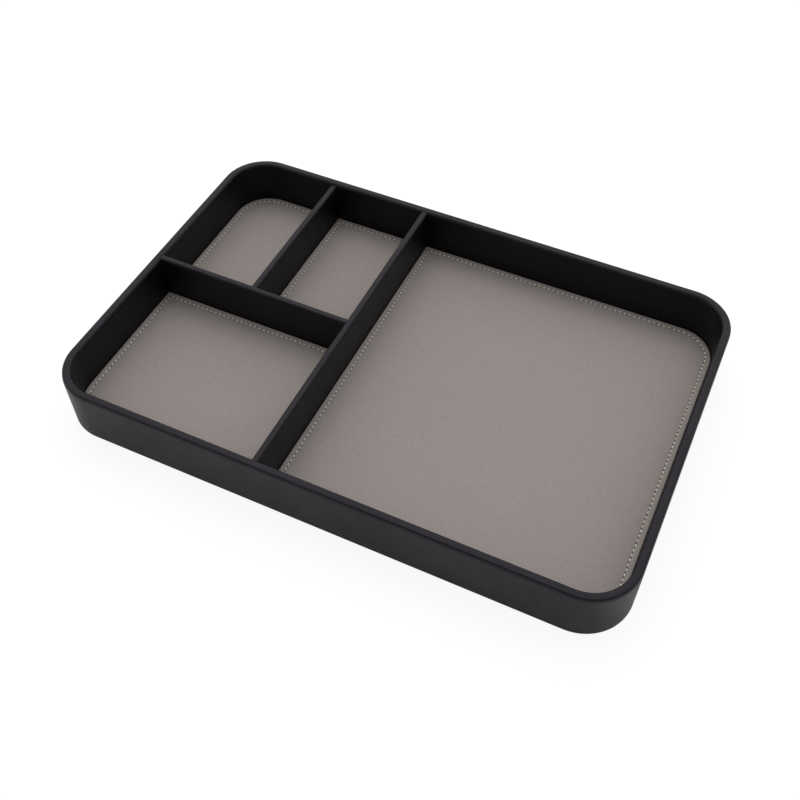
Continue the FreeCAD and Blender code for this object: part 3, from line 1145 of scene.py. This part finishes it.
@dataclass
class Studio:
    """A white table in a light tent that is brightest behind on the left, one softbox and the camera.

    Attributes:
        azimuth: camera's turn to the right of the front.
        elevation: camera's height above the horizon.
        distance: from the camera to what it looks at.
        target: what the camera looks at.
        lens: focal length.
        sensor: width of the camera's sensor.
        clip: nearest and furthest distance that the camera sees.
        softbox: middle of the softbox, which hangs level.
        softbox_size: its width and depth.
        softbox_glow: its radiance.
        tent: radiance of the tent overhead.
        tent_slope: share by which that grows towards +X, +Y and +Z.
        floor: the floor's colour.
        floor_reach: how far it goes from the tray.
        floor_rise: how high it is swept up there, as a backdrop.
        floor_sides: faces round it.
        floor_steps: faces up the sweep.
        floor_white: brightness of the open floor, as the camera sees it.
        shade_seen: share of that which takes shadows, to the camera.
        shade_mirrored: the same for the floor's reflection in the leather.
    """

    azimuth: float = math.radians(25.178)
    elevation: float = math.radians(51.275)
    distance: float = 521.17 * MM
    target: Vector = Vector((9.67, -23.47, 16.0)) * MM
    lens: float = 45.95
    sensor: float = 36.0
    clip: tuple[float, float] = (0.01, 50.0)
    softbox: Vector = Vector((-0.2, 0.5, 1.0))
    softbox_size: tuple[float, float] = (0.9, 0.65)
    softbox_glow: float = 1.4
    tent: float = 0.7
    tent_slope: Vector = Vector((-0.35, 0.85, 0.3))
    floor: str = "#F4F4F4"
    floor_reach: float = 6.0
    floor_rise: float = 1.0
    floor_sides: int = 96
    floor_steps: int = 8
    floor_white: float = 1.04
    shade_seen: float = 0.16
    shade_mirrored: float = 0.95

    def build(self) -> None:
        """Set up the floor, the softbox, the tent and the camera."""
        self.lay_floor()
        self.hang_softbox()
        self.put_up_tent()
        self.place_camera()
        bpy.context.scene.view_settings.view_transform = "Standard"

    def lay_floor(self) -> None:
        """Lay a wide pale floor, swept up at its edge, that shows white and keeps the tray's shadow."""
        sweep = Workpiece.from_disc("floor", self.floor_reach, self.floor_rise, self.floor_sides)
        sweep.pick(Element.FACE, lambda middle, normal: True)
        for inwards, downwards in arc_steps(self.floor_rise, self.floor_steps):
            sweep.step_in(inwards, -downwards)
        floor = sweep.settle()
        material, tree = new_material("white_table")
        path = add_node(tree, "LightPath").outputs
        seen = add_node(
            tree, "Math", {0: path["Is Camera Ray"], 1: path["Is Glossy Ray"]}, operation="MAXIMUM"
        )
        shown = add_node(
            tree, "Math", {0: seen.outputs["Value"], 1: path["Is Transmission Ray"]}, operation="MAXIMUM"
        )
        share = add_node(
            tree, "Math",
            {0: path["Is Camera Ray"], 1: self.shade_seen - self.shade_mirrored, 2: self.shade_mirrored},
            operation="MULTIPLY_ADD",
        )
        rest = add_node(tree, "Math", {0: self.floor_white, 1: share.outputs["Value"]}, operation="SUBTRACT")
        table = add_node(tree, "BsdfDiffuse", {"Color": to_linear(self.floor)})
        shade = add_node(tree, "BsdfDiffuse", {"Color": share.outputs["Value"]})
        glow = add_node(tree, "Emission", {"Strength": rest.outputs["Value"]})
        white = add_node(tree, "AddShader", {0: shade.outputs["BSDF"], 1: glow.outputs["Emission"]})
        mixed = add_node(
            tree, "MixShader",
            {0: shown.outputs["Value"], 1: table.outputs["BSDF"], 2: white.outputs["Shader"]},
        )
        add_node(tree, "OutputMaterial", {"Surface": mixed.outputs["Shader"]})
        floor.data.materials.append(material)

    def hang_softbox(self) -> None:
        """Hang the softbox level above and behind the tray."""
        lamp = bpy.data.lights.new("softbox", "AREA")
        lamp.shape = "RECTANGLE"
        lamp.size, lamp.size_y = self.softbox_size
        lamp.energy = self.softbox_glow * math.pi * lamp.size * lamp.size_y
        light = bpy.data.objects.new("softbox", lamp)
        light.location = self.softbox
        bpy.context.scene.collection.objects.link(light)

    def put_up_tent(self) -> None:
        """Make the surroundings a pale tent that is lit from one side."""
        world = bpy.data.worlds.new("light_tent")
        world.use_nodes = True
        tree = world.node_tree
        tree.nodes.clear()
        way = add_node(tree, "TexCoord").outputs["Generated"]
        gain = add_node(tree, "VectorMath", {0: way, 1: self.tent_slope}, operation="DOT_PRODUCT")
        level = add_node(
            tree, "Math", {0: gain.outputs["Value"], 1: self.tent, 2: self.tent}, operation="MULTIPLY_ADD"
        )
        glow = add_node(
            tree, "Background", {"Color": to_linear("#FFFFFF"), "Strength": level.outputs["Value"]}
        )
        add_node(tree, "OutputWorld", {"Surface": glow.outputs["Background"]})
        bpy.context.scene.world = world

    def place_camera(self) -> None:
        """Place the camera at the photograph's viewing angle."""
        back = Vector((
            math.sin(self.azimuth) * math.cos(self.elevation),
            -math.cos(self.azimuth) * math.cos(self.elevation),
            math.sin(self.elevation),
        ))
        lens = bpy.data.cameras.new("camera")
        lens.lens = self.lens
        lens.sensor_width = self.sensor
        lens.clip_start, lens.clip_end = self.clip
        camera = bpy.data.objects.new("camera", lens)
        camera.location = self.target + back * self.distance
        camera.rotation_euler = (-back).to_track_quat("-Z", "Y").to_euler()
        bpy.context.scene.collection.objects.link(camera)
        bpy.context.scene.camera = camera


def main() -> None:
    """Dress the tray, report each piece and set up the studio."""
    logging.basicConfig(level=logging.INFO, format="%(message)s")
    black = BLACK_LEATHER.make()
    taupe = TAUPE_LEATHER.make()
    walls = WallLeather(black)
    pieces = [walls.build(), *DividerLeather(black, walls.inner_rim()).build()]
    stitching = Stitching(SewingThread().make())
    for name, rounded in (
        ("front_left", (Corner.FRONT_LEFT,)),
        ("back_left", (Corner.BACK_LEFT,)),
        ("back_middle", ()),
        ("large", (Corner.FRONT_RIGHT, Corner.BACK_RIGHT)),
    ):
        pieces += StitchedMat(name, rounded, taupe, stitching).build()
    pieces.append(Underside(FELT.make()).build())
    pieces += Boards(FIBREBOARD.make(), GREY_CARD.make()).dress()
    for piece in pieces:
        finish = piece.material_slots[0].material.name
        log.info("%s: %d faces of %s", piece.name, len(piece.data.polygons), finish)
    Studio().build()


if __name__ == "__main__":
    main()
